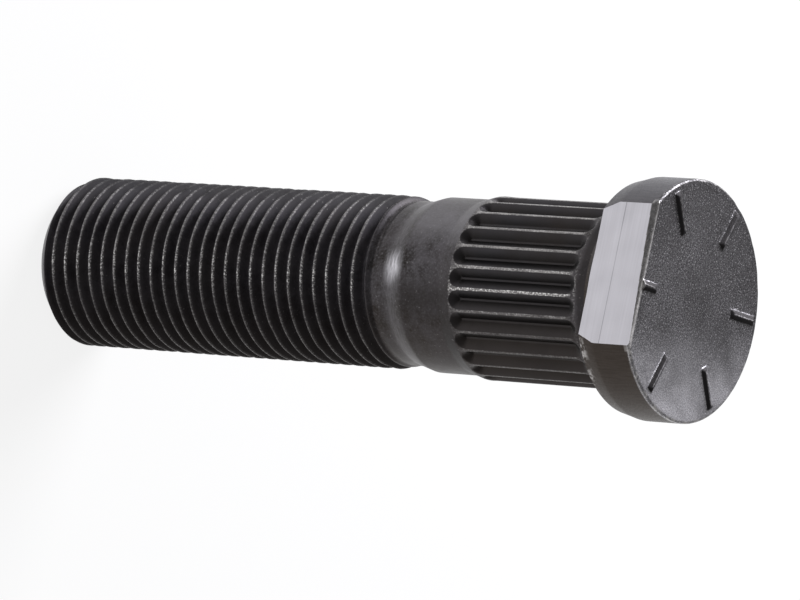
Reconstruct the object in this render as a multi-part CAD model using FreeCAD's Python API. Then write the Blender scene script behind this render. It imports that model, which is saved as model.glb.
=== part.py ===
import FreeCAD, Part
import math
import os
from FreeCAD import Vector

os.makedirs("parts", exist_ok=True)

# Press-in wheel stud, cold headed in one piece from alloy steel, in millimetres.
# It stands on its threaded end: the axis is Z, the head is up and the flat looks to -Y.

# Thread: 5/8-18 UNF, rolled. The blank under it is midway between crest and root.
inch = 25.4
threads_per_inch = 18.0
thread_pitch = inch / threads_per_inch
thread_major_d = 15.75
thread_height = 0.6134 * thread_pitch
thread_length = 37.9
end_face_d = 13.2

# Neck left bare between the rolled thread and the shank.
neck_d = thread_major_d - thread_height
neck_length = 0.85
runout_length = 0.7 * thread_pitch
shoulder_length = 1.7

# Plain shank, and the tapered start of the knurl.
shank_d = 15.85
shank_length = 4.2
lead_in_length = 1.3

# Straight knurl: V grooves rolled in, each with a rounded end.
knurl_d = 16.58
knurl_teeth = 26
knurl_land = 0.22
knurl_root_width = 0.18
knurl_half_angle = 53.0
knurl_turn = 1.5
groove_inset = 0.12
groove_length = 13.25
collar_length = 1.8

# Head: a round forging with a taper at its back edge and one side milled flat.
head_d = 21.64
head_thickness = 5.4
head_back_d = 20.8
head_back_taper = 1.6
seat_fillet = 0.7
face_edge_radius = 0.25
flat_distance = 8.7
flat_bevel_depth = 0.55
flat_bevel_width = 0.33

# Raised radial grade marks on the face.
mark_count = 6
mark_turn = 5.7
mark_width = 0.95
mark_height = 0.34
mark_draft = 30.0
mark_inner_r = 6.2
mark_edge_gap = 0.35

# Heights along the axis, from the end of the thread.
thread_r = thread_major_d / 2
end_face_r = end_face_d / 2
neck_r = neck_d / 2
shank_r = shank_d / 2
knurl_r = knurl_d / 2
head_r = head_d / 2
head_back_r = head_back_d / 2
z_chamfer = thread_r - end_face_r
z_neck = thread_length + runout_length
z_shoulder = z_neck + neck_length
z_shank = z_shoulder + shoulder_length
z_lead_in = z_shank + shank_length
z_knurl = z_lead_in + lead_in_length
z_groove_start = z_knurl + groove_inset
z_groove_end = z_groove_start + groove_length
z_seat = z_groove_end + collar_length
z_face = z_seat + head_thickness


def at(radius, height):
    return Vector(radius, 0, height)


# The turned outline: one half section, from the end of the thread up to the head's face.
corner = math.sqrt(0.5)
fillet_centre_r = knurl_r + seat_fillet
fillet_centre_z = z_seat - seat_fillet
fillet_mid = at(fillet_centre_r - corner * seat_fillet, fillet_centre_z + corner * seat_fillet)
edge_centre_r = head_r - face_edge_radius
edge_centre_z = z_face - face_edge_radius
edge_mid = at(edge_centre_r + corner * face_edge_radius, edge_centre_z + corner * face_edge_radius)
shaft_line = [
    at(0, 0),
    at(end_face_r, 0),
    at(thread_r, z_chamfer),
    at(thread_r, thread_length),
    at(neck_r, z_neck),
    at(neck_r, z_shoulder),
    at(shank_r, z_shank),
    at(shank_r, z_lead_in),
    at(knurl_r, z_knurl),
    at(knurl_r, fillet_centre_z),
]
head_line = [
    at(fillet_centre_r, z_seat),
    at(head_back_r, z_seat),
    at(head_r, z_seat + head_back_taper),
    at(head_r, edge_centre_z),
]
close_line = [
    at(edge_centre_r, z_face),
    at(0, z_face),
    at(0, 0),
]
outline = []
for line in (shaft_line, head_line, close_line):
    outline += [Part.makeLine(a, b) for a, b in zip(line, line[1:])]
outline.append(Part.Arc(shaft_line[-1], fillet_mid, head_line[0]).toShape())
outline.append(Part.Arc(head_line[-1], edge_mid, close_line[0]).toShape())
section = Part.Face(Part.Wire(Part.__sortEdges__(outline)))
body = section.revolve(Vector(0, 0, 0), Vector(0, 0, 1), 360)

# Grade marks: six low bars raised by the forging die, with drafted sides and ends.
mark_outer_r = edge_centre_r - mark_edge_gap
mark_sink = mark_height / 2
mark_slope = math.tan(math.radians(mark_draft))


def mark_outline(height):
    shrink = height * mark_slope
    near = mark_inner_r + shrink
    far = mark_outer_r - shrink
    side = mark_width / 2 - shrink
    corners = [
        Vector(near, -side, z_face + height),
        Vector(far, -side, z_face + height),
        Vector(far, side, z_face + height),
        Vector(near, side, z_face + height),
        Vector(near, -side, z_face + height),
    ]
    return Part.makePolygon(corners)


bar = Part.makeLoft([mark_outline(-mark_sink), mark_outline(mark_height)], True, True)
marks = []
for index in range(mark_count):
    mark = bar.copy()
    mark.rotate(Vector(0, 0, 0), Vector(0, 0, 1), index * 360 / mark_count + mark_turn - 90)
    marks.append(mark)
body = body.fuse(marks)

# Knurl grooves: a V with a narrow floor, closed at each end by half a cone.
edge_turn = math.pi / knurl_teeth - knurl_land / knurl_d
edge_r = knurl_r * math.cos(edge_turn)
flank = math.tan(math.radians(knurl_half_angle))
groove_half = knurl_r * math.sin(edge_turn)
root_half = knurl_root_width / 2
root_r = edge_r - (groove_half - root_half) / flank
clear = knurl_land / 8
top_r = knurl_r + clear
top_half = groove_half + (top_r - edge_r) * flank
z_first = z_groove_start + groove_half
z_last = z_groove_end - groove_half
v_points = [
    Vector(root_r, -root_half, z_first),
    Vector(top_r, -top_half, z_first),
    Vector(top_r, top_half, z_first),
    Vector(root_r, root_half, z_first),
    Vector(root_r, -root_half, z_first),
]
v_section = Part.Face(Part.makePolygon(v_points))
trough = v_section.extrude(Vector(0, 0, z_last - z_first))
half_points = [
    Vector(root_r, 0, 0),
    Vector(root_r, root_half, 0),
    Vector(top_r, top_half, 0),
    Vector(top_r, 0, 0),
    Vector(root_r, 0, 0),
]
half_section = Part.Face(Part.makePolygon(half_points))
upper_end = half_section.revolve(Vector(0, 0, 0), Vector(1, 0, 0), 180)
lower_end = half_section.revolve(Vector(0, 0, 0), Vector(1, 0, 0), -180)
upper_end.translate(Vector(0, 0, z_last))
lower_end.translate(Vector(0, 0, z_first))
groove = trough.fuse([upper_end, lower_end]).removeSplitter()
grooves = []
for index in range(knurl_teeth):
    cutter = groove.copy()
    cutter.rotate(Vector(0, 0, 0), Vector(0, 0, 1), (index + 0.5) * 360 / knurl_teeth + knurl_turn - 90)
    grooves.append(cutter)
body = body.cut(grooves)

# The milled flat takes one side off the head only.
flat_low = z_seat - seat_fillet
flat_corner = Vector(-head_d, -head_d - flat_distance, flat_low)
flat_box = Part.makeBox(head_d * 2, head_d, head_thickness * 3, flat_corner)
body = body.cut(flat_box)

# Forged edge left beside the flat: a bevel that runs out to nothing along the face.
half_chord = math.sqrt(head_r ** 2 - flat_distance ** 2)
wide_low = Vector(-half_chord, -flat_distance, z_face - flat_bevel_depth)
wide_top = Vector(-half_chord, flat_bevel_width - flat_distance, z_face)
narrow_end = Vector(half_chord, -flat_distance, z_face)
along = (narrow_end - wide_low).normalize()
across = (wide_top - wide_low) - along * along.dot(wide_top - wide_low)
across = across.normalize()
outward = across.cross(along)
if outward.y > 0:
    outward = outward * -1
reach = head_d
middle = (wide_low + narrow_end) * 0.5
bevel_points = [
    middle + along * reach + across * reach,
    middle - along * reach + across * reach,
    middle - along * reach - across * head_thickness / 2,
    middle + along * reach - across * head_thickness / 2,
    middle + along * reach + across * reach,
]
bevel_cut = Part.Face(Part.makePolygon(bevel_points)).extrude(outward * head_thickness)
body = body.cut(bevel_cut)

stud = body.removeSplitter()
if stud.ShapeType != "Solid":
    stud = stud.Solids[0]
stud.exportStep("parts/wheel_stud.step")
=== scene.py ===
import math
import bmesh
import bpy
from mathutils import Matrix, Vector, noise


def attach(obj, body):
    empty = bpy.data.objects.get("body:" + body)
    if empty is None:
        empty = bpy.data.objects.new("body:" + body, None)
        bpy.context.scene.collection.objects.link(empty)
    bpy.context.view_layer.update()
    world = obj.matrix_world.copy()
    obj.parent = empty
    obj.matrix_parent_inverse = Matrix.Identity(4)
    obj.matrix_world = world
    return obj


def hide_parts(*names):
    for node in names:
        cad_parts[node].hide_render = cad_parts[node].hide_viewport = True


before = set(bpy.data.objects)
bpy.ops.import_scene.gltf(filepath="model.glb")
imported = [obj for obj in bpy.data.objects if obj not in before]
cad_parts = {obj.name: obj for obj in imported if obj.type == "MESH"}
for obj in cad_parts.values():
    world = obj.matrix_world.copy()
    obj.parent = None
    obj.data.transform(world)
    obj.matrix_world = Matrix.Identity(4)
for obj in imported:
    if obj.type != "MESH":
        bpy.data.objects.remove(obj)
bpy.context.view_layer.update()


# Wheel stud: one blank of alloy steel, cold headed and knurled, with the thread rolled on and one
# side of the head milled flat. It stands on the end of its thread, head up, with its axis along Z.
# It is one closed mesh with three finishes, and its sizes are in millimetres.
mm_per_m = 1000.0
flat_turn = -90.0
OXIDE, FORGED, MILLED = 0, 1, 2
points = []
faces = []
finishes = []
known = {}


def point(x, y, z):
    digits = 4
    key = (round(x, digits), round(y, digits), round(z, digits))
    if key not in known:
        known[key] = len(points)
        points.append((x, y, z))
    return known[key]


def face(corners, finish):
    loop = [c for i, c in enumerate(corners) if c != corners[i - 1]]
    if len(set(loop)) == len(loop) and len(loop) > 2:
        faces.append(loop)
        finishes.append(finish)


def band(low, high, finish):
    for i in range(len(low)):
        face([low[i - 1], low[i], high[i], high[i - 1]], finish)


def soft_least(a, b, size):
    near = max(size - abs(a - b), 0.0) / size
    return min(a, b) - near * near * size / 4


def ease(low, high, value):
    t = min(max((value - low) / (high - low), 0.0), 1.0)
    return t * t * (3 - 2 * t)


def dent(x, y, z, size, depth):
    spared = 0.3
    return depth * max(noise.noise(Vector((x, y, z)) / size) - spared, 0.0)


# Columns of the mesh: each knurl tooth has its own set, closest at the edges of its land and groove.
# The thread needs fewer and takes every fourth one.
teeth = 26
knurl_turn = 1.5
tooth = 2 * math.pi / teeth
first_land = math.radians(knurl_turn + flat_turn)
in_tooth = (0.0, 0.03, 0.055, 0.09, 0.18, 0.29, 0.4, 0.455, 0.5, 0.545, 0.6, 0.71, 0.82, 0.91, 0.945, 0.97)
columns = [first_land + (k + share) * tooth for k in range(teeth) for share in in_tooth]
skip = 4
coarse = columns[::skip]

# Thread, 5/8-18, rolled and right-handed. The rows of the mesh follow the helix, so that its crest
# and root stay clean, and a lead chamfer and a run-out end it.
inch = 25.4
threads_per_inch = 18
pitch = inch / threads_per_inch
thread_r = 7.875
thread_depth = 0.6134 * pitch
thread_half_angle = 30
end_r = 6.6
z_full_thread = 36.7
z_thread_end = 37.9
run_out_length = 0.7 * pitch
z_neck = z_thread_end + run_out_length
z_faded = z_neck - 0.2
neck_r = thread_r - thread_depth / 2
first_crest_z = 0.799
crest_half = pitch / 16
crest_drop = 0.01
root_round = 0.25
knocked_half = pitch / 10
knocked_r = 7
flank_slope = 1 / math.tan(math.radians(thread_half_angle))
in_pitch = (0.0, 0.045, 0.08, 0.17, 0.28, 0.38, 0.46, 0.54, 0.62, 0.72, 0.83, 0.92, 0.955)


def thread_radius(share, angle, z):
    away = abs(share - round(share)) * pitch
    sunk = max(away - crest_half, 0.0) * flank_slope
    sunk = soft_least(sunk + crest_drop, thread_depth, root_round)
    radius = thread_r - max(sunk, 0.0)
    if away < knocked_half:
        radius -= dent(knocked_r * math.cos(angle), knocked_r * math.sin(angle), z, size=1.3, depth=0.22)
    fade = ease(z_full_thread, z_faded, z)
    radius += (neck_r - radius) * fade
    return min(radius, end_r + z)


spare_turns = 2
rows = []
for turn in range(-spare_turns, int(z_neck / pitch) + spare_turns):
    for share in in_pitch:
        row = []
        for angle in coarse:
            z = first_crest_z + (turn + share) * pitch + pitch * (angle - coarse[0]) / (2 * math.pi)
            z = min(max(z, 0.0), z_neck)
            r = thread_radius(share, angle, z)
            row.append(point(r * math.cos(angle), r * math.sin(angle), z))
        rows.append(row)
turn_rows = len(in_pitch)
for j in range(len(rows) - turn_rows - 1):
    for i in range(len(coarse) - 1):
        face([rows[j][i], rows[j][i + 1], rows[j + 1][i + 1], rows[j + 1][i]], OXIDE)
    seam = rows[j + turn_rows][0], rows[j + turn_rows + 1][0]
    face([rows[j][-1], seam[0], seam[1], rows[j + 1][-1]], OXIDE)

# Flat end of the thread, which the stud stands on.
end_rings = (6.2, 3.0)
rim = [point(end_r * math.cos(a), end_r * math.sin(a), 0.0) for a in coarse]
for r in end_rings:
    inner = [point(r * math.cos(a), r * math.sin(a), 0.0) for a in coarse]
    band(rim, inner, OXIDE)
    rim = inner
centre = point(0.0, 0.0, 0.0)
for i in range(len(rim)):
    face([rim[i - 1], rim[i], centre], OXIDE)

# Neck, shoulder, plain shank and knurl. Each knurl groove is a V with a narrow floor, and half a
# cone closes it at both ends. Its flanks ripple a little.
neck_length = 0.85
shoulder_length = 1.7
shank_length = 4.2
lead_in_length = 1.3
groove_inset = 0.12
groove_length = 13.25
collar_length = 1.8
shank_r = 7.925
knurl_r = 8.28
knurl_half_angle = 53
land_half = 0.11
land_round = 0.06
floor_half = 0.09
ripple = 0.02
ripple_stretch = 4
seat_fillet = 0.7
z_shoulder = z_neck + neck_length
z_shank = z_shoulder + shoulder_length
z_lead_in = z_shank + shank_length
z_knurl = z_lead_in + lead_in_length
z_groove = z_knurl + groove_inset
z_groove_end = z_groove + groove_length
z_seat = z_groove_end + collar_length
z_collar = z_seat - seat_fillet
edge_turn = tooth / 2 - land_half / knurl_r
groove_half = knurl_r * math.sin(edge_turn)
flank = math.tan(math.radians(knurl_half_angle))
floor_r = knurl_r * math.cos(edge_turn) - (groove_half - floor_half) / flank
profile = [
    (z_neck, neck_r), (z_shoulder, neck_r), (z_shank, shank_r),
    (z_lead_in, shank_r), (z_knurl, knurl_r), (z_collar, knurl_r),
]


def shaft_radius(angle, z):
    for (z0, r0), (z1, r1) in zip(profile, profile[1:]):
        if z0 <= z <= z1:
            plain = r0 + (r1 - r0) * (z - z0) / (z1 - z0)
    off = ((angle - first_land) / tooth % 1.0 - 0.5) * tooth
    past = max(z_groove + groove_half - z, z - z_groove_end + groove_half, 0.0)
    groove = floor_r + max(math.hypot(knurl_r * math.sin(off), past) - floor_half, 0.0) / flank
    x, y = knurl_r * math.cos(angle), knurl_r * math.sin(angle)
    plain -= dent(x, y, z, size=0.9, depth=0.05)
    groove += ripple * noise.noise(Vector((x, y, z / ripple_stretch)))
    return soft_least(plain, groove / math.cos(off), land_round)


# Rows of the mesh along the shaft, closest at its bends and at the ends of the grooves.
beside = 0.15
end_step = 0.065
end_rows = 15
long_start = 1.2
long_step = 0.7
long_rows = 16
heights = [z_neck + beside, z_neck + 0.5, z_shoulder - beside, z_shoulder, z_shoulder + beside]
heights += [z_shoulder + 0.8, z_shank - beside, z_shank, z_shank + beside, z_shank + 1.5, z_shank + 3.0]
heights += [z_lead_in + rise for rise in (-0.2, 0.0, 0.2, 0.6, 1.0)]
heights += [z_knurl - 0.1, z_knurl]
heights += [z_groove + end_step * k for k in range(end_rows)]
heights += [z_groove + long_start + long_step * k for k in range(long_rows)]
heights += [z_groove_end - end_step * k for k in reversed(range(end_rows))]
heights += [z_groove_end + beside, z_groove_end + 0.5, z_collar - 0.1, z_collar]
below = [point(neck_r * math.cos(a), neck_r * math.sin(a), z_neck) for a in coarse]
for z in heights:
    ring = []
    for angle in columns:
        r = shaft_radius(angle, z)
        ring.append(point(r * math.cos(angle), r * math.sin(angle), z))
    if len(below) == len(ring):
        band(below, ring, OXIDE)
    else:
        for i in range(len(below)):
            upper = [ring[skip * i - step] for step in range(skip + 1)]
            face([below[i - 1], below[i]] + upper, OXIDE)
    below = ring

# Head: a round forging with a tapered back edge and a rounded face edge. The cutter leaves one flat
# side, and beside it a forged bevel runs out along the face.
head_thickness = 5.4
head_r = 10.81
back_r = 10.4
flat_y = 8.7
edge_r = 0.25
bevel_depth = 0.55
bevel_slope = 0.6
z_face = z_seat + head_thickness
half_chord = math.sqrt(head_r ** 2 - flat_y ** 2)
full_turn = math.acos(flat_y / head_r)
from_flat = [(a + math.pi / 2 + math.pi) % (2 * math.pi) - math.pi for a in columns]
for side in (-full_turn, full_turn):
    nearest = min(range(len(columns)), key=lambda k: abs(from_flat[k] - side))
    from_flat[nearest] = side


def head_point(turn, r, z):
    corner = math.acos(flat_y / r)
    if abs(turn) <= full_turn:
        turn = turn * corner / full_turn
        reach = flat_y / math.cos(turn)
    else:
        beyond = (abs(turn) - full_turn) * (math.pi - corner) / (math.pi - full_turn)
        turn = math.copysign(corner + beyond, turn)
        reach = r
    x = reach * math.sin(turn)
    y = -reach * math.cos(turn)
    bevel_z = z_face - bevel_depth * (half_chord - x) / (2 * half_chord)
    return x, max(y, -flat_y + bevel_slope * max(z - bevel_z, 0.0))


# Underside of the head, with its rings closest in the fillet.
for share in (0.015, 0.05, 0.11, 0.19, 0.28, 0.4, 0.6, 0.8, 0.96, 1.0):
    ring = []
    for angle, turn in zip(columns, from_flat):
        x1, y1 = head_point(turn, back_r, z_seat)
        reach = math.hypot(x1, y1)
        x = reach * math.cos(angle) * (1 - share) + x1 * share
        y = reach * math.sin(angle) * (1 - share) + y1 * share
        r = knurl_r + (reach - knurl_r) * share
        short = max(knurl_r + seat_fillet - r, 0.0)
        z = z_collar + math.sqrt(max(seat_fillet ** 2 - short ** 2, 0.0))
        grow = r / math.hypot(x, y)
        ring.append(point(x * grow, y * grow, z))
    band(below, ring, FORGED)
    below = ring

# Six radial grade marks stand up from the face. The rest of it is bare and a little uneven.
mark_count = 6
mark_turn = 5.7
mark_turns = [math.radians(360 / mark_count * k + mark_turn + flat_turn) for k in range(mark_count)]
mark_half = 0.475
mark_inner_r = 6.2
mark_outer_r = 10.2
mark_height = 0.33
mark_round = 0.2
mark_draft = math.tan(math.radians(48))
bevel_foot_y = 8.4
even_border = 0.9
settled = 0.02
calm_on_marks = 0.4


def face_height(x, y):
    lift = 0.0
    for turn in mark_turns:
        along = x * math.cos(turn) + y * math.sin(turn)
        across = abs(y * math.cos(turn) - x * math.sin(turn))
        wall = min(mark_half - across, along - mark_inner_r, mark_outer_r - along) / mark_draft
        lift = max(lift, soft_least(wall, mark_height, mark_round))
    inside = ease(0.0, even_border, head_r - edge_r - math.hypot(x, y))
    inside *= ease(0.0, even_border, y + bevel_foot_y)
    waves = 0.03 * noise.noise(Vector((x, y, 3.0)) / 3)
    pits = 0.015 * noise.noise(Vector((x, y, 9.0)) / 0.9)
    return z_face + lift + (waves + pits - settled) * inside * (1.0 if lift == 0.0 else calm_on_marks)


# Rim of the head, from the tapered back up to the rounded edge of the face.
flush_limit = 0.004
clear_of_flat = 0.01
worn_zone = 0.5
sides = [(back_r + out, z_seat + up) for out, up in ((0.02, 0.08), (0.1, 0.4), (0.25, 1.0), (0.395, 1.52))]
sides += [(head_r, z_seat + up) for up in (1.7, 2.6, 3.6)]
sides += [(head_r, z_face - down) for down in (0.9, 0.7, 0.6, 0.55, 0.5, 0.43, 0.36, 0.3)]
for step in range(11):
    bend = math.radians(9 * step)
    sides.append((head_r - edge_r * (1 - math.cos(bend)), z_face - edge_r * (1 - math.sin(bend))))
for k, (r, z) in enumerate(sides):
    ring = []
    for turn in from_flat:
        x, y = head_point(turn, r, z)
        if y > -flat_y + clear_of_flat:
            worn = dent(x, y, z / 3, size=1.7, depth=0.2) * ease(z_face - worn_zone, z_face, z)
            worn += dent(x, y, z, size=2.5, depth=0.06)
            x, y = x * (1 - worn / r), max(y * (1 - worn / r), -flat_y)
        ring.append(point(x, y, face_height(x, y) if k == len(sides) - 1 else z))
    for i in range(len(ring)):
        corners = [below[i - 1], below[i], ring[i], ring[i - 1]]
        flush = all(abs(points[c][1] + flat_y) < flush_limit for c in corners)
        face(corners, MILLED if flush else FORGED)
    below = ring

# Face of the head, in rings that shrink from the edge and are closest at the ends of the marks.
edge = [points[c] for c in below]
shares = [0.992, 0.982, 0.973, 0.964, 0.955, 0.946, 0.937, 0.925, 0.9, 0.86, 0.81, 0.76, 0.745, 0.735, 0.725]
shares += [0.715, 0.705, 0.68, 0.655, 0.634, 0.624, 0.614, 0.604, 0.594, 0.584, 0.574, 0.54, 0.48, 0.4]
shares += [0.32, 0.24, 0.16, 0.08]
for share in shares:
    ring = [point(x * share, y * share, face_height(x * share, y * share)) for x, y, z in edge]
    band(below, ring, FORGED)
    below = ring
centre = point(0.0, 0.0, face_height(0.0, 0.0))
for i in range(len(below)):
    face([below[i - 1], below[i], centre], FORGED)

sharp_edge = 33
mesh = bpy.data.meshes.new("wheel_stud_steel")
mesh.from_pydata([(x / mm_per_m, y / mm_per_m, z / mm_per_m) for x, y, z in points], [], faces)
mesh.polygons.foreach_set("material_index", finishes)
mesh.polygons.foreach_set("use_smooth", [True] * len(faces))
shape = bmesh.new()
shape.from_mesh(mesh)
bmesh.ops.recalc_face_normals(shape, faces=shape.faces)
shape.to_mesh(mesh)
shape.free()
mesh.set_sharp_from_angle(angle=math.radians(sharp_edge))
stud = bpy.data.objects.new("wheel_stud_steel", mesh)
bpy.context.scene.collection.objects.link(stud)
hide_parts("wheel_stud")
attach(stud, "root")


def linear(colour):
    parts = [int(colour[i:i + 2], 16) / 255 for i in (1, 3, 5)]
    return [c / 12.92 if c <= 0.04045 else ((c + 0.055) / 1.055) ** 2.4 for c in parts] + [1.0]


def add(material, kind, inputs, **settings):
    made = material.node_tree.nodes.new("ShaderNode" + kind)
    for name, value in settings.items():
        setattr(made, name, value)
    for name, value in inputs.items():
        if isinstance(value, bpy.types.Node):
            value = next(out for out in value.outputs if out.enabled)
        if isinstance(value, bpy.types.NodeSocket):
            material.node_tree.links.new(value, made.inputs[name])
        else:
            made.inputs[name].default_value = linear(value) if isinstance(value, str) else value
    return made


def bare_material(name):
    material = bpy.data.materials.new(name)
    material.use_nodes = True
    material.node_tree.nodes.clear()
    return material


def distance(material, value, middle):
    offset = add(material, "Math", {0: value, 1: middle}, operation="SUBTRACT")
    return add(material, "Math", {0: offset}, operation="ABSOLUTE")


def axis_distance(material, place):
    level = add(material, "VectorMath", {0: place, 1: (1.0, 1.0, 0.0)}, operation="MULTIPLY")
    return add(material, "VectorMath", {0: level}, operation="LENGTH").outputs["Value"]


# Black oxide on rolled steel: a thin skin with a satin gloss. It is blackest where oil stays, in the
# thread and the grooves, grey on the shank, and rubbed to bare steel on crests and lands.
mm = 1 / mm_per_m
smooth = {"interpolation_type": "SMOOTHSTEP"}
rgba = {"data_type": "RGBA"}
fading = {"To Min": 1.0, "To Max": 0.0}
oxide = bare_material("black_oxide_steel")
place = add(oxide, "TexCoord", {}).outputs["Object"]
apart = add(oxide, "SeparateXYZ", {"Vector": place})
x_place = apart.outputs["X"]
height = apart.outputs["Z"]
radius = axis_distance(oxide, place)
# Stains from 3 mm across down to fine mottling, and a rolled grain of 0.2 mm.
stains = {"Vector": place, "Scale": mm_per_m / 3, "Detail": 6.0, "Roughness": 0.75}
blotches = add(oxide, "TexNoise", stains)
blotches = add(oxide, "MapRange", {"Value": blotches, "From Min": 0.38, "From Max": 0.62})
grain = add(oxide, "TexNoise", {"Vector": place, "Scale": mm_per_m / 0.2, "Detail": 2.0})
in_thread = add(oxide, "MapRange", {
    "Value": height, "From Min": z_full_thread * mm, "From Max": (z_neck - 0.7) * mm, **fading,
}, **smooth)
past_start = add(oxide, "MapRange", {
    "Value": height, "From Min": (z_knurl - 0.1) * mm, "From Max": (z_knurl + 0.15) * mm,
}, **smooth)
before_end = add(oxide, "MapRange", {
    "Value": height, "From Min": z_groove_end * mm, "From Max": (z_groove_end + 0.2) * mm, **fading,
}, **smooth)
in_knurl = add(oxide, "Math", {0: past_start, 1: before_end}, operation="MULTIPLY")
sunk = add(oxide, "MapRange", {
    "Value": radius, "From Min": (knurl_r - 0.035) * mm, "From Max": (knurl_r - 0.008) * mm, **fading,
}, **smooth)
in_groove = add(oxide, "Math", {0: in_knurl, 1: sunk}, operation="MULTIPLY")
on_shank = add(oxide, "MapRange", {
    "Value": height, "From Min": (z_shank - 0.3) * mm, "From Max": (z_shank + 0.3) * mm,
}, **smooth)
on_shank = add(oxide, "Math", {0: on_shank, 1: past_start}, operation="SUBTRACT")
on_lead_in = add(oxide, "MapRange", {
    "Value": height, "From Min": (z_lead_in - 0.2) * mm, "From Max": (z_lead_in + 0.2) * mm,
}, **smooth)
on_lead_in = add(oxide, "Math", {0: on_lead_in, 1: in_groove}, operation="SUBTRACT")
on_lead_in = add(oxide, "Math", {0: on_lead_in, 1: on_shank}, operation="MULTIPLY")
on_collar = add(oxide, "MapRange", {
    "Value": height, "From Min": z_groove_end * mm, "From Max": (z_groove_end + 0.6) * mm,
}, **smooth)
black = add(oxide, "Math", {0: in_thread, 1: on_collar}, operation="MAXIMUM")
grey_skin = add(oxide, "Mix", {"Factor": blotches, "A": "#2a2624", "B": "#5c595d"}, **rgba)
mottle = add(oxide, "MapRange", {"Value": grain, "From Min": 0.45, "From Max": 0.7, "To Max": 0.2})
grey_skin = add(oxide, "Mix", {"Factor": mottle, "A": grey_skin, "B": "#8f8d92"}, **rgba)
black_skin = add(oxide, "Mix", {"Factor": blotches, "A": "#3b383c", "B": "#5a575c"}, **rgba)
skin = add(oxide, "Mix", {"Factor": black, "A": grey_skin, "B": black_skin}, **rgba)
# Painted shade: the collar under the head is painted darker still.
collar_shade = add(oxide, "Math", {0: on_collar, 1: 0.55}, operation="MULTIPLY")
skin = add(oxide, "Mix", {"Factor": collar_shade, "A": skin, "B": "#171617"}, **rgba)
flank_height = add(oxide, "MapRange", {
    "Value": radius, "From Min": floor_r * mm, "From Max": knurl_r * mm,
}, **smooth)
groove_skin = add(oxide, "Mix", {"Factor": flank_height, "A": "#1f1e1f", "B": "#3f3d40"}, **rgba)
on_floor = add(oxide, "MapRange", {
    "Value": radius, "From Min": (floor_r + 0.01) * mm, "From Max": (floor_r + 0.05) * mm, **fading,
})
groove_skin = add(oxide, "Mix", {"Factor": on_floor, "A": groove_skin, "B": "#383638"}, **rgba)
skin = add(oxide, "Mix", {"Factor": in_groove, "A": skin, "B": groove_skin}, **rgba)
# The lead chamfer is turned after rolling and is greyer than the thread. Its light grey is partly painted
# light, against the floor's shade that it reflects.
on_chamfer = add(oxide, "MapRange", {
    "Value": height, "From Min": 0.9 * mm, "From Max": 1.3 * mm, "To Min": 0.8, "To Max": 0.0,
}, **smooth)
skin = add(oxide, "Mix", {"Factor": on_chamfer, "A": skin, "B": "#7a787b"}, **rgba)
# A brown film of old oil lies in patches of 6 mm, and the same brown is painted on towards +X as painted
# shade.
film_and_shade = add(oxide, "TexNoise", {"Vector": place, "Scale": mm_per_m / 6, "Detail": 3.0})
film_and_shade = add(oxide, "MapRange", {"Value": film_and_shade, "From Min": 0.42, "From Max": 0.7, "To Max": 0.5})
film_shade_plus_x = add(oxide, "MapRange", {"Value": x_place, "From Max": shank_r * mm, "To Max": 0.7}, **smooth)
film_and_shade = add(oxide, "Math", {0: film_and_shade, 1: film_shade_plus_x}, operation="MAXIMUM")
skin = add(oxide, "Mix", {"Factor": film_and_shade, "A": skin, "B": "#37312d"}, **rgba)
# Painted shade: towards -X the thread and the collar are painted near black.
thread_shade_minus_x = add(oxide, "MapRange", {
    "Value": x_place, "From Min": -7 * mm, "From Max": -1.5 * mm, "To Min": 0.9, "To Max": 0.0,
}, **smooth)
thread_shade_minus_x = add(oxide, "Math", {0: thread_shade_minus_x, 1: black}, operation="MULTIPLY")
skin = add(oxide, "Mix", {"Factor": thread_shade_minus_x, "A": skin, "B": "#0d0c0d"}, **rgba)
# Painted light and shade along the shank: a pale band towards -X and a dark band towards +X.
for middle, reach, most, colour in ((-4.2, 3.2, 0.3, "#a3a1a6"), (3.2, 2.6, 0.5, "#262220")):
    painted_band = add(oxide, "MapRange", {
        "Value": distance(oxide, x_place, middle * mm), "From Max": reach * mm, "To Min": most, "To Max": 0.0,
    }, **smooth)
    painted_band = add(oxide, "Math", {0: painted_band, 1: on_shank}, operation="MULTIPLY")
    skin = add(oxide, "Mix", {"Factor": painted_band, "A": skin, "B": colour}, **rgba)
# Painted shade: the lead-in is painted darker towards +X.
lead_in_shade_plus_x = add(oxide, "MapRange", {
    "Value": x_place, "From Min": 3 * mm, "From Max": 6.5 * mm, "To Max": 0.6,
}, **smooth)
lead_in_shade_plus_x = add(oxide, "Math", {0: lead_in_shade_plus_x, 1: on_lead_in}, operation="MULTIPLY")
skin = add(oxide, "Mix", {"Factor": lead_in_shade_plus_x, "A": skin, "B": "#1f1c1b"}, **rgba)
# The neck is burnished by the thread rolls, which leave lines 0.12 mm apart round it. The burnish is bright
# only near
# X = 0.5 mm, as a painted highlight, and faint elsewhere.
past_thread = add(oxide, "MapRange", {
    "Value": height, "From Min": (z_neck + 0.1) * mm, "From Max": (z_shoulder + 0.5) * mm,
}, **smooth)
before_shank = add(oxide, "MapRange", {
    "Value": height, "From Min": (z_shoulder + 0.6) * mm, "From Max": (z_shank + 0.3) * mm, **fading,
}, **smooth)
highlight_side = add(oxide, "MapRange", {
    "Value": distance(oxide, x_place, 0.5 * mm), "From Max": 2.1 * mm, "To Min": 1.0, "To Max": 0.1,
}, **smooth)
round_neck = (mm_per_m / 0.8, mm_per_m / 0.8, mm_per_m / 0.12)
lines = add(oxide, "VectorMath", {0: place, 1: round_neck}, operation="MULTIPLY")
lines = add(oxide, "TexNoise", {"Vector": lines, "Scale": 1.0, "Detail": 3.0})
lines = add(oxide, "MapRange", {"Value": lines, "From Min": 0.35, "From Max": 0.65, "To Min": 0.45})
burnish_and_highlight = past_thread
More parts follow.
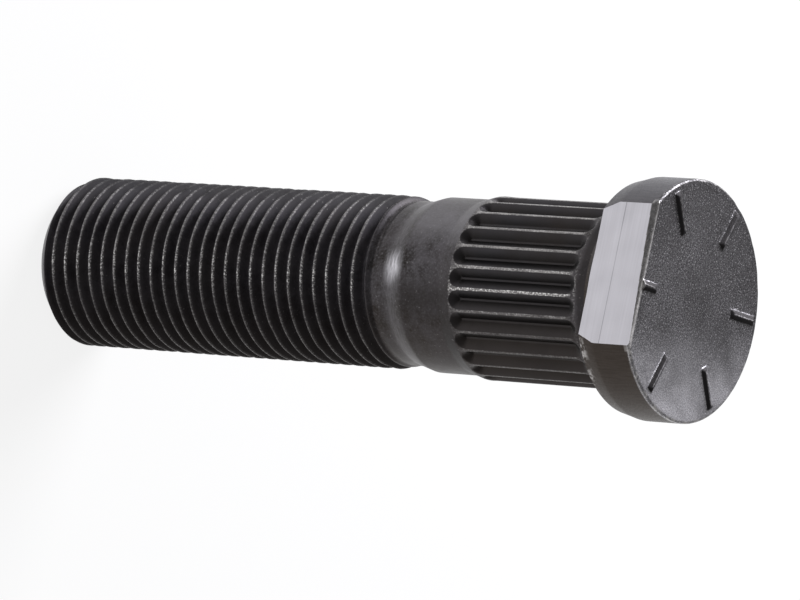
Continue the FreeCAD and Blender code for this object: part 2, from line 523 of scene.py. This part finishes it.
for share in (before_shank, highlight_side, lines):
    burnish_and_highlight = add(oxide, "Math", {0: burnish_and_highlight, 1: share}, operation="MULTIPLY")
skin = add(oxide, "Mix", {"Factor": burnish_and_highlight, "A": skin, "B": "#e6e4ea"}, **rgba)
# Crests and lands are rubbed, the lands least near both ends of the grooves. As painted shade the crests are
# duller towards -X, and the crests and the lands are duller towards +X.
on_crest = add(oxide, "MapRange", {
    "Value": radius, "From Min": (thread_r - 0.18) * mm, "From Max": (thread_r - 0.02) * mm, "To Max": 0.55,
}, **smooth)
crest_shade_minus_x = add(oxide, "MapRange", {
    "Value": x_place, "From Min": -7 * mm, "From Max": -4 * mm, "To Min": 0.1,
}, **smooth)
rub_shade_plus_x = add(oxide, "MapRange", {
    "Value": x_place, "From Min": 1 * mm, "From Max": 5 * mm, "To Min": 1.0, "To Max": 0.45,
}, **smooth)
for share in (in_thread, crest_shade_minus_x, rub_shade_plus_x):
    on_crest = add(oxide, "Math", {0: on_crest, 1: share}, operation="MULTIPLY")
on_land = add(oxide, "Math", {0: in_knurl, 1: in_groove}, operation="SUBTRACT")
worn_from = add(oxide, "MapRange", {
    "Value": height, "From Min": z_groove * mm, "From Max": (z_groove + 0.8) * mm, "To Min": 0.3,
}, **smooth)
worn_to = add(oxide, "MapRange", {
    "Value": height, "From Min": (z_groove_end - 1.1) * mm, "From Max": (z_groove_end - 0.2) * mm, **fading,
}, **smooth)
rub_shade_plus_x = add(oxide, "MapRange", {
    "Value": x_place, "From Min": 1.5 * mm, "From Max": 5.5 * mm, "To Min": 0.9, "To Max": 0.18,
}, **smooth)
for share in (worn_from, worn_to, rub_shade_plus_x):
    on_land = add(oxide, "Math", {0: on_land, 1: share}, operation="MULTIPLY")
rubbed = add(oxide, "Math", {0: on_crest, 1: on_land}, operation="MAXIMUM")
# Scuffs run along the stud, 1.2 mm long and 0.2 mm wide.
along_stud = (mm_per_m / 0.2, mm_per_m / 0.2, mm_per_m / 1.2)
scuffs = add(oxide, "VectorMath", {0: place, 1: along_stud}, operation="MULTIPLY")
scuffs = add(oxide, "TexNoise", {"Vector": scuffs, "Scale": 1.0, "Detail": 3.0})
patchy = add(oxide, "MapRange", {"Value": scuffs, "From Min": 0.34, "From Max": 0.62, "To Min": 0.3})
rubbed = add(oxide, "Math", {0: rubbed, 1: patchy}, operation="MULTIPLY")
skin = add(oxide, "Mix", {"Factor": rubbed, "A": skin, "B": "#a3a09f"}, **rgba)
# Knocks of 0.15 mm show bare steel on crests, lands and the grooves' ends. Most of them lie near X = 1.8 mm,
# where they are painted glints.
knocks_and_glints = add(oxide, "TexNoise", {"Vector": place, "Scale": mm_per_m / 0.15, "Detail": 3.0})
knocks_and_glints = add(oxide, "MapRange", {"Value": knocks_and_glints, "From Min": 0.5, "From Max": 0.6})
highlight_side = add(oxide, "MapRange", {
    "Value": distance(oxide, x_place, 1.8 * mm), "From Max": 2.6 * mm, "To Min": 1.0, "To Max": 0.25,
}, **smooth)
burrs = add(oxide, "MapRange", {
    "Value": distance(oxide, height, z_groove_end * mm), "From Max": 0.2 * mm, "To Min": 0.4, "To Max": 0.0,
})
bared = add(oxide, "MapRange", {"Value": rubbed, "From Max": 0.35})
bared = add(oxide, "Math", {0: bared, 1: burrs}, operation="MAXIMUM")
for share in (highlight_side, bared):
    knocks_and_glints = add(oxide, "Math", {0: knocks_and_glints, 1: share}, operation="MULTIPLY")
skin = add(oxide, "Mix", {"Factor": knocks_and_glints, "A": skin, "B": "#f2f0ee"}, **rgba)
# Outside the grooves the tops of the grain are rubbed to pale specks.
specks = add(oxide, "MapRange", {"Value": grain, "From Min": 0.7, "From Max": 0.78, "To Max": 0.45})
specks = add(oxide, "Math", {0: specks, 1: in_groove}, operation="SUBTRACT")
skin = add(oxide, "Mix", {"Factor": specks, "A": skin, "B": "#a9a6a4"}, **rgba)
# The thread is duller than the shank, most of all where it is painted near black towards -X, and the turned
# chamfer is glossier.
gloss = add(oxide, "MapRange", {"Value": blotches, "To Min": 0.36, "To Max": 0.46})
for where, duller in ((in_thread, 0.15), (thread_shade_minus_x, 0.14), (on_chamfer, -0.15)):
    step = add(oxide, "Math", {0: where, 1: duller}, operation="MULTIPLY")
    gloss = add(oxide, "Math", {0: gloss, 1: step}, operation="ADD")
relief = add(oxide, "Bump", {"Height": grain, "Strength": 0.35, "Distance": 0.02 * mm})
steel = add(oxide, "BsdfPrincipled", {
    "Base Color": skin, "Metallic": 0.85, "Roughness": gloss, "Normal": relief,
})
add(oxide, "OutputMaterial", {"Surface": steel})

# Forged and oxidised steel of the head: a grey skin with die grain that glitters a little, a brown tint
# from heat round the rim, bright metal where edges and marks are rubbed, and painted light and shade.
forged = bare_material("forged_oxide_steel")
place = add(forged, "TexCoord", {}).outputs["Object"]
apart = add(forged, "SeparateXYZ", {"Vector": place})
x_place = apart.outputs["X"]
y_place = apart.outputs["Y"]
height = apart.outputs["Z"]
radius = axis_distance(forged, place)
# Die grain of 0.13 mm, chips of 0.35 mm, scuffs of 1.5 mm and clouds of 5 mm.
grain = add(forged, "TexNoise", {"Vector": place, "Scale": mm_per_m / 0.13, "Detail": 1.0})
chips = add(forged, "TexNoise", {"Vector": place, "Scale": mm_per_m / 0.35, "Detail": 3.0})
scuffs = add(forged, "TexNoise", {"Vector": place, "Scale": mm_per_m / 1.5, "Detail": 5.0})
clouds = add(forged, "TexNoise", {"Vector": place, "Scale": mm_per_m / 5, "Detail": 3.0})
# Painted light and shade: the face is painted paler towards +X and darker towards -X.
fine = add(forged, "MapRange", {"Value": grain, "From Min": 0.35, "From Max": 0.65})
slant = add(forged, "VectorMath", {0: place, 1: (1.0, 0.25, 0.0)}, operation="DOT_PRODUCT").outputs["Value"]
face_light_plus_x = add(forged, "MapRange", {"Value": slant, "From Min": 1.5 * mm, "From Max": 10 * mm}, **smooth)
tops = add(forged, "Mix", {"Factor": face_light_plus_x, "A": "#949295", "B": "#eae8ec"}, **rgba)
hollows = add(forged, "Mix", {"Factor": face_light_plus_x, "A": "#312f31", "B": "#a3a1a6"}, **rgba)
skin = add(forged, "Mix", {"Factor": fine, "A": hollows, "B": tops}, **rgba)
clouds_and_shade = add(forged, "MapRange", {"Value": clouds, "From Min": 0.38, "From Max": 0.66, "To Max": 0.55})
slant = add(forged, "VectorMath", {0: place, 1: (1.0, -0.5, 0.0)}, operation="DOT_PRODUCT").outputs["Value"]
face_shade_minus_x = add(forged, "MapRange", {
    "Value": slant, "From Min": -9 * mm, "From Max": -2 * mm, "To Min": 0.45, "To Max": 0.0,
})
clouds_and_shade = add(forged, "Math", {0: clouds_and_shade, 1: face_shade_minus_x}, operation="MAXIMUM")
skin = add(forged, "Mix", {"Factor": clouds_and_shade, "A": skin, "B": "#464445"}, **rgba)
sparks = add(forged, "MapRange", {"Value": grain, "From Min": 0.64, "From Max": 0.72, "To Max": 0.85})
skin = add(forged, "Mix", {"Factor": sparks, "A": skin, "B": "#ebe9ed"}, **rgba)
# The rim is drawn smooth by the die, with lines 0.15 mm apart along the stud. It is grey towards -X and a
# darker brown towards +X, partly a heat tint and partly painted shade.
on_rim = add(forged, "MapRange", {
    "Value": height, "From Min": (z_face - 0.4) * mm, "From Max": (z_face - 0.12) * mm, **fading,
}, **smooth)
down_rim = (mm_per_m / 0.15, mm_per_m / 0.15, mm_per_m / 2)
lines = add(forged, "VectorMath", {0: place, 1: down_rim}, operation="MULTIPLY")
lines = add(forged, "TexNoise", {"Vector": lines, "Scale": 1.0, "Detail": 3.0})
lines = add(forged, "MapRange", {"Value": lines, "From Min": 0.3, "From Max": 0.7})
heat_tint_and_shade = add(forged, "MapRange", {
    "Value": x_place, "From Min": -head_r * mm, "From Max": 0.4 * head_r * mm,
}, **smooth)
ridges = add(forged, "Mix", {"Factor": heat_tint_and_shade, "A": "#646368", "B": "#49423d"}, **rgba)
furrows = add(forged, "Mix", {"Factor": heat_tint_and_shade, "A": "#565559", "B": "#3f3833"}, **rgba)
rim_skin = add(forged, "Mix", {"Factor": lines, "A": furrows, "B": ridges}, **rgba)
skin = add(forged, "Mix", {"Factor": on_rim, "A": skin, "B": rim_skin}, **rgba)
# The walls of the marks are painted dark, as painted shade.
raised = add(forged, "MapRange", {
    "Value": height, "From Min": (z_face + 0.015) * mm, "From Max": (z_face + 0.06) * mm,
}, **smooth)
z_crest = z_face + mark_height
on_mark = add(forged, "MapRange", {
    "Value": height, "From Min": (z_crest - 0.08) * mm, "From Max": (z_crest - 0.02) * mm,
}, **smooth)
wall_shade = add(forged, "Math", {0: raised, 1: on_mark}, operation="SUBTRACT")
skin = add(forged, "Mix", {"Factor": wall_shade, "A": skin, "B": "#343233"}, **rgba)
# The face's edge is darkened between the places where it is rubbed: in patches by oxide, and by painted shade
# that is strongest towards -X and away from the flat.
near_edge = add(forged, "MapRange", {
    "Value": radius, "From Min": (head_r - 0.35) * mm, "From Max": (head_r - 0.15) * mm,
}, **smooth)
near_top = add(forged, "MapRange", {
    "Value": height, "From Min": (z_face - 0.3) * mm, "From Max": (z_face - 0.12) * mm,
}, **smooth)
on_edge = add(forged, "Math", {0: near_edge, 1: near_top}, operation="MULTIPLY")
edge_oxide_and_shade = add(forged, "MapRange", {
    "Value": clouds, "From Min": 0.36, "From Max": 0.62, "To Min": 0.6, "To Max": 0.1,
})
edge_shade_off_flat = add(forged, "MapRange", {"Value": y_place, "From Min": -7 * mm, "From Max": -4 * mm, "To Max": 0.8})
edge_oxide_and_shade = add(forged, "Math", {0: edge_oxide_and_shade, 1: edge_shade_off_flat}, operation="MAXIMUM")
edge_shade_minus_x = add(forged, "MapRange", {"Value": x_place, "From Max": 4 * mm, "To Min": 1.0, "To Max": 0.35})
for share in (on_edge, edge_shade_minus_x):
    edge_oxide_and_shade = add(forged, "Math", {0: edge_oxide_and_shade, 1: share}, operation="MULTIPLY")
skin = add(forged, "Mix", {"Factor": edge_oxide_and_shade, "A": skin, "B": "#1d1b1c"}, **rgba)
# The edge is rubbed in patches, most of all towards +X, and so is the back edge past the flat.
on_back = add(forged, "MapRange", {
    "Value": height, "From Min": (z_seat + 0.1) * mm, "From Max": (z_seat + 0.9) * mm,
    "To Min": 0.7, "To Max": 0.0,
}, **smooth)
past_flat = add(forged, "MapRange", {"Value": x_place, "From Min": 5 * mm, "From Max": 6.5 * mm})
by_flat = add(forged, "MapRange", {"Value": y_place, "From Min": -6 * mm, "From Max": -2 * mm, **fading})
at_back = add(forged, "MapRange", {
    "Value": radius, "From Min": (back_r - 0.2) * mm, "From Max": (back_r - 0.05) * mm,
})
for share in (past_flat, by_flat, at_back):
    on_back = add(forged, "Math", {0: on_back, 1: share}, operation="MULTIPLY")
scuffs = add(forged, "Math", {0: scuffs, 1: chips}, operation="MULTIPLY")
patchy = add(forged, "MapRange", {"Value": scuffs, "From Min": 0.22, "From Max": 0.34})
dragged = add(forged, "MapRange", {
    "Value": x_place, "From Min": -6 * mm, "From Max": 5 * mm, "To Min": 0.2,
}, **smooth)
rubbed = add(forged, "Math", {0: on_edge, 1: on_back}, operation="MAXIMUM")
for share in (patchy, dragged):
    rubbed = add(forged, "Math", {0: rubbed, 1: share}, operation="MULTIPLY")
skin = add(forged, "Mix", {"Factor": rubbed, "A": skin, "B": "#dcd9d8"}, **rgba)
# Each mark is dull, and rubbed in spots along its crest.
dull = add(forged, "Math", {0: on_mark, 1: 0.6}, operation="MULTIPLY")
skin = add(forged, "Mix", {"Factor": dull, "A": skin, "B": "#4c4a4c"}, **rgba)
crest = add(forged, "MapRange", {"Value": chips, "From Min": 0.4, "From Max": 0.65, "To Max": 0.3})
crest = add(forged, "Math", {0: crest, 1: on_mark}, operation="MULTIPLY")
skin = add(forged, "Mix", {"Factor": crest, "A": skin, "B": "#dcd9d8"}, **rgba)
# The bevel beside the flat is forged too. Its edges are scraped, and their brightness is partly a painted
# highlight.
beside_flat = add(forged, "MapRange", {
    "Value": y_place, "From Min": -bevel_foot_y * mm, "From Max": -8.25 * mm, **fading,
}, **smooth)
off_face = distance(forged, height, (z_face - 0.02) * mm)
scrapes_and_highlight = add(forged, "MapRange", {
    "Value": off_face, "From Min": 0.03 * mm, "From Max": 0.08 * mm, "To Min": 1.0, "To Max": 0.35,
})
broken = add(forged, "MapRange", {"Value": chips, "From Min": 0.4, "From Max": 0.6, "To Min": 0.55})
on_bevel = add(forged, "MapRange", {
    "Value": off_face, "From Min": (bevel_depth - 0.05) * mm, "From Max": bevel_depth * mm, **fading,
})
for share in (beside_flat, broken, on_bevel):
    scrapes_and_highlight = add(forged, "Math", {0: scrapes_and_highlight, 1: share}, operation="MULTIPLY")
skin = add(forged, "Mix", {"Factor": scrapes_and_highlight, "A": skin, "B": "#dcd9d8"}, **rgba)
gloss = add(forged, "MapRange", {
    "Value": grain, "From Min": 0.3, "From Max": 0.7, "To Min": 0.5, "To Max": 0.34,
})
matt = add(forged, "Math", {0: raised, 1: 0.25}, operation="MULTIPLY")
gloss = add(forged, "Math", {0: gloss, 1: matt}, operation="ADD")
rough = add(forged, "MapRange", {"Value": on_rim, "To Min": 0.9, "To Max": 0.15})
relief = add(forged, "Bump", {"Height": grain, "Strength": rough, "Distance": 0.025 * mm})
steel = add(forged, "BsdfPrincipled", {
    "Base Color": skin, "Metallic": 0.9, "Roughness": gloss, "Normal": relief,
})
add(forged, "OutputMaterial", {"Surface": steel})

# Milled steel of the flat: bare and pale, with the cutter's fine lines along it and one deeper line.
# The real lines are about 0.05 mm apart and are drawn three times as wide, so that they show.
milled = bare_material("milled_steel")
place = add(milled, "TexCoord", {}).outputs["Object"]
height = add(milled, "SeparateXYZ", {"Vector": place}).outputs["Z"]
along_flat = (mm_per_m / 9, mm_per_m / 9, mm_per_m / 0.15)
lines = add(milled, "VectorMath", {0: place, 1: along_flat}, operation="MULTIPLY")
lines = add(milled, "TexNoise", {"Vector": lines, "Scale": 1.0, "Detail": 3.0})
patches = add(milled, "TexNoise", {"Vector": place, "Scale": mm_per_m / 3, "Detail": 2.0})
skin = add(milled, "Mix", {"Factor": lines, "A": "#c7c5cb", "B": "#dcdae1"}, **rgba)
z_deep_line = z_face - 3.15
deep = add(milled, "MapRange", {
    "Value": distance(milled, height, z_deep_line * mm), "From Min": 0.02 * mm, "From Max": 0.07 * mm,
    "To Min": 0.75, "To Max": 0.0,
})
deep = add(milled, "Math", {0: deep, 1: patches}, operation="MULTIPLY")
skin = add(milled, "Mix", {"Factor": deep, "A": skin, "B": "#4f4d52"}, **rgba)
gloss = add(milled, "MapRange", {
    "Value": patches, "From Min": 0.3, "From Max": 0.7, "To Min": 0.34, "To Max": 0.46,
})
relief = add(milled, "Bump", {"Height": lines, "Strength": 0.3, "Distance": 0.01 * mm})
steel = add(milled, "BsdfPrincipled", {
    "Base Color": skin, "Metallic": 0.9, "Roughness": gloss, "Normal": relief,
})
add(milled, "OutputMaterial", {"Surface": steel})
for material in (oxide, forged, milled):
    mesh.materials.append(material)


# Floor: a plain white paper table a hair under the stud, wide enough to fill the picture.
# Seen by the camera or in the steel, it is whiter than the lamp makes it, and it keeps the shadow.
floor_reach = 3.0
floor_z = -0.00005
floor_corners = [(-floor_reach, -floor_reach), (floor_reach, -floor_reach)]
floor_corners += [(floor_reach, floor_reach), (-floor_reach, floor_reach)]
floor_mesh = bpy.data.meshes.new("studio_floor")
floor_mesh.from_pydata([(x, y, floor_z) for x, y in floor_corners], [], [(0, 1, 2, 3)])
floor = bpy.data.objects.new("studio_floor", floor_mesh)
bpy.context.scene.collection.objects.link(floor)
paper = bare_material("white_paper")
rays = add(paper, "LightPath", {})
seen = rays.outputs["Is Camera Ray"]
for kind in ("Is Glossy Ray", "Is Transmission Ray"):
    seen = add(paper, "Math", {0: seen, 1: rays.outputs[kind]}, operation="MAXIMUM")
whitened = add(paper, "Math", {0: seen, 1: 0.85}, operation="MULTIPLY")
sheet = add(paper, "BsdfPrincipled", {"Base Color": "#f6f6f6", "Roughness": 0.9})
white = add(paper, "Emission", {"Color": "#ffffff", "Strength": 1.0})
mixed = add(paper, "MixShader", {0: whitened, 1: sheet, 2: white})
add(paper, "OutputMaterial", {"Surface": mixed})
floor_mesh.materials.append(paper)


# Light: one soft and slightly cool lamp near the side of the stud that is up in the picture, and a dim
# white room that fills the shade.
world = bpy.data.worlds.new("studio_room")
world.use_nodes = True
room = world.node_tree.nodes["Background"]
room.inputs["Color"].default_value = linear("#ffffff")
room.inputs["Strength"].default_value = 0.26
bpy.context.scene.world = world
lamp_spot = Vector((-0.26, 0.15, 0.2))
lamp_aim = Vector((0, 0, 0.05))
lamp = bpy.data.lights.new("side_lamp", "AREA")
lamp.shape = "DISK"
lamp.size = 0.25
lamp.energy = 2.1
lamp.color = linear("#f9f9ff")[:3]
holder = bpy.data.objects.new("side_lamp", lamp)
holder.location = lamp_spot
holder.rotation_euler = (lamp_aim - lamp_spot).to_track_quat("-Z", "Y").to_euler()
bpy.context.scene.collection.objects.link(holder)


# Camera: a long lens above the flat side, turned so that the stud lies across the picture. Its place
# and its two axes in the picture are matched to the outline of the real stud.
camera_data = bpy.data.cameras.new("camera")
camera_data.sensor_width = 36.0
camera_data.lens = 313.03
camera_data.clip_end = 20.0
camera = bpy.data.objects.new("camera", camera_data)
camera_spot = (0.12213, -0.50172, 0.39617)
right = Vector((-0.19987, 0.53885, 0.81834))
up = Vector((-0.96093, -0.27102, -0.05623))
turn = Matrix((right, up, right.cross(up))).transposed().to_4x4()
camera.matrix_world = Matrix.Translation(camera_spot) @ turn
bpy.context.scene.collection.objects.link(camera)
bpy.context.scene.camera = camera
bpy.context.scene.view_settings.view_transform = "Standard"
